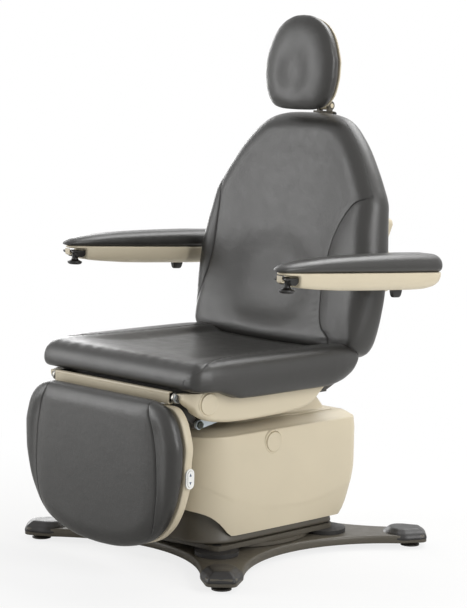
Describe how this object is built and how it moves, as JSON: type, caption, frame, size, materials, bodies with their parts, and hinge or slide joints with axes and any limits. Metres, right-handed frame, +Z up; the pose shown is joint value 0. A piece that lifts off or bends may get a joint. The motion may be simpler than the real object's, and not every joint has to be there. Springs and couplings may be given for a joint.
{
  "type": "procedure chair",
  "caption": "Powered procedure chair with a star base, telescoping lift, tilting seat, reclining backrest with level arms, small headrest and swinging leg rest.",
  "frame": {"origin": "point on the floor under the swivel axis", "axes": "+Z up; the chair faces -Y; +X is the side of the sitter's left arm"},
  "size_m": [0.9, 0.866, 1.3945],
  "materials": {
    "taupe_paint": "satin",
    "charcoal_plastic": "matt",
    "beige_shell": "satin",
    "grey_vinyl": "satin",
    "steel": "brushed",
    "dark_steel": "satin",
    "light_steel": "brushed",
    "white_plastic": "gloss",
    "plywood": "matt"
  },
  "bodies": {
    "base": {"star_base": "taupe_paint", "foot_caps": "charcoal_plastic", "levelling_feet": "dark_steel", "swivel_spindle": "steel"},
    "turntable": {"turntable_plate": "taupe_paint", "brake_pads": "charcoal_plastic", "lower_skirt": "taupe_paint", "column_outer": "steel", "lift_motor": "dark_steel"},
    "middle_stage": {"middle_skirt": "taupe_paint", "column_middle": "steel"},
    "carriage": {"main_cover": "beige_shell", "cover_caps": "beige_shell", "column_inner": "steel", "carriage_yoke": "dark_steel", "neck_cover": "beige_shell", "tilt_pin": "steel", "tilt_actuator": "dark_steel"},
    "tilt_rod_body": {"tilt_rod": "steel"},
    "seat": {"seat_frame": "dark_steel", "seat_shell": "beige_shell", "shell_caps": "beige_shell", "seat_board": "plywood", "seat_cushion": "grey_vinyl", "seat_pins": "steel", "hinge_brackets": "steel", "leg_actuator": "dark_steel", "recline_actuator": "dark_steel"},
    "recline_rod_body": {"recline_rod": "steel"},
    "leg_rod_body": {"leg_rod": "steel"},
    "back": {"back_frame": "dark_steel", "back_shell": "beige_shell", "back_cushion": "grey_vinyl", "arm_shaft": "steel", "arm_yoke": "beige_shell"},
    "mast": {"headrest_mast": "steel"},
    "head_arm": {"headrest_link": "steel"},
    "mast_button": {"headrest_button": "charcoal_plastic"},
    "head": {"headrest_shell": "beige_shell", "headrest_cushion": "grey_vinyl"},
    "leg": {"front_panel": "beige_shell", "leg_frame": "dark_steel", "crank_bolts": "dark_steel"},
    "link": {"leg_links": "light_steel"},
    "leg_slide": {"leg_shell": "beige_shell", "leg_cushion": "grey_vinyl", "leg_rails": "steel", "switch_bezel": "white_plastic"},
    "rocker": {"switch_rocker": "white_plastic"},
    "arm_hub_left": {"arm_carrier_left": "beige_shell"},
    "arm_left": {"arm_shell_left": "beige_shell", "arm_pad_left": "grey_vinyl", "arm_stop_left": "charcoal_plastic"},
    "trigger_left": {"arm_trigger_left": "charcoal_plastic"},
    "arm_hub_right": {"arm_carrier_right": "beige_shell"},
    "arm_right": {"arm_shell_right": "beige_shell", "arm_pad_right": "grey_vinyl", "arm_stop_right": "charcoal_plastic"},
    "trigger_right": {"arm_trigger_right": "charcoal_plastic"}
  },
  "joints": [
    {"name": "seat_swivel", "type": "hinge", "parent": "base", "child": "turntable", "pos_m": [0, 0, 0.04], "axis": [0, 0, 1], "range_deg": [-165, 165]},
    {"name": "middle_lift", "type": "slide", "parent": "turntable", "child": "middle_stage", "axis": [0, 0, 1], "range_m": [0, 0.17]},
    {"name": "lift", "type": "slide", "parent": "turntable", "child": "carriage", "axis": [0, 0, 1], "range_m": [0, 0.34]},
    {"name": "tilt_rod_slide", "type": "slide", "parent": "carriage", "child": "tilt_rod_body", "axis": [0, 0, 1], "range_m": [0, 0.0255]},
    {"name": "seat_tilt", "type": "hinge", "parent": "carriage", "child": "seat", "pos_m": [0, 0.06, 0.402], "axis": [-1, 0, 0], "range_deg": [0, 10]},
    {"name": "recline_rod_slide", "type": "slide", "parent": "seat", "child": "recline_rod_body", "axis": [0, -1, 0], "range_m": [0, 0.0772]},
    {"name": "leg_rod_slide", "type": "slide", "parent": "seat", "child": "leg_rod_body", "axis": [0, -1, 0], "range_m": [0, 0.162]},
    {"name": "backrest_recline", "type": "hinge", "parent": "seat", "child": "back", "pos_m": [0, 0.235, 0.47], "axis": [-1, 0, 0], "range_deg": [0, 80]},
    {"name": "leg_rest_swing", "type": "hinge", "parent": "seat", "child": "leg", "pos_m": [0, -0.395, 0.46], "axis": [-1, 0, 0], "range_deg": [0, 85]},
    {"name": "leg_link_turn", "type": "hinge", "parent": "leg", "child": "link", "pos_m": [0, -0.304, 0.381], "axis": [-1, 0, 0], "range_deg": [-85, 0]},
    {"name": "leg_rest_extend", "type": "slide", "parent": "leg", "child": "leg_slide", "axis": [0, 0, -1], "range_m": [0, 0.055]},
    {"name": "switch_rock", "type": "hinge", "parent": "leg_slide", "child": "rocker", "pos_m": [0.285, -0.401, 0.27], "axis": [0, 1, 0], "range_deg": [-6, 6], "stiffness_Nm_per_rad": 0.3},
    {"name": "headrest_height", "type": "slide", "parent": "back", "child": "mast", "axis": [0, 0.1478, 0.989], "range_m": [0, 0.12]},
    {"name": "headrest_arm_tilt", "type": "hinge", "parent": "mast", "child": "head_arm", "pos_m": [0, 0.35174, 1.15266], "axis": [-1, 0, 0], "range_deg": [0, 30]},
    {"name": "headrest_tilt", "type": "hinge", "parent": "head_arm", "child": "head", "pos_m": [0, 0.31404, 1.23196], "axis": [-1, 0, 0], "range_deg": [0, 30]},
    {"name": "headrest_button_push", "type": "slide", "parent": "mast", "child": "mast_button", "axis": [-1, 0, 0], "range_m": [0, 0.003], "stiffness_N_per_m": 800, "springref_m": -0.003},
    {"name": "arm_level_left", "type": "hinge", "parent": "back", "child": "arm_hub_left", "pos_m": [0, 0.318, 0.718], "axis": [-1, 0, 0], "range_deg": [-80, 0]},
    {"name": "arm_flip_left", "type": "hinge", "parent": "arm_hub_left", "child": "arm_left", "pos_m": [0, 0.318, 0.718], "axis": [-1, 0, 0], "range_deg": [0, 95]},
    {"name": "arm_trigger_push_left", "type": "slide", "parent": "arm_left", "child": "trigger_left", "axis": [0, 0.0576, 0.9983], "range_m": [0, 0.006], "stiffness_N_per_m": 600, "springref_m": -0.003},
    {"name": "arm_level_right", "type": "hinge", "parent": "back", "child": "arm_hub_right", "pos_m": [0, 0.318, 0.718], "axis": [-1, 0, 0], "range_deg": [-80, 0]},
    {"name": "arm_flip_right", "type": "hinge", "parent": "arm_hub_right", "child": "arm_right", "pos_m": [0, 0.318, 0.718], "axis": [-1, 0, 0], "range_deg": [0, 95]},
    {"name": "arm_trigger_push_right", "type": "slide", "parent": "arm_right", "child": "trigger_right", "axis": [0, 0.0576, 0.9983], "range_m": [0, 0.006], "stiffness_N_per_m": 600, "springref_m": -0.003}
  ],
  "couplings": [
    {"joint": "middle_lift", "follows": "lift", "ratio": 0.5},
    {"joint": "tilt_rod_slide", "follows": "seat_tilt", "m_per_rad": 0.146},
    {"joint": "recline_rod_slide", "follows": "backrest_recline", "m_per_rad": 0.05524},
    {"joint": "leg_rod_slide", "follows": "leg_rest_swing", "m_per_rad": 0.1091},
    {"joint": "leg_link_turn", "follows": "leg_rest_swing", "ratio": -1},
    {"joint": "arm_level_left", "follows": "backrest_recline", "ratio": -1},
    {"joint": "arm_level_right", "follows": "backrest_recline", "ratio": -1}
  ]
}
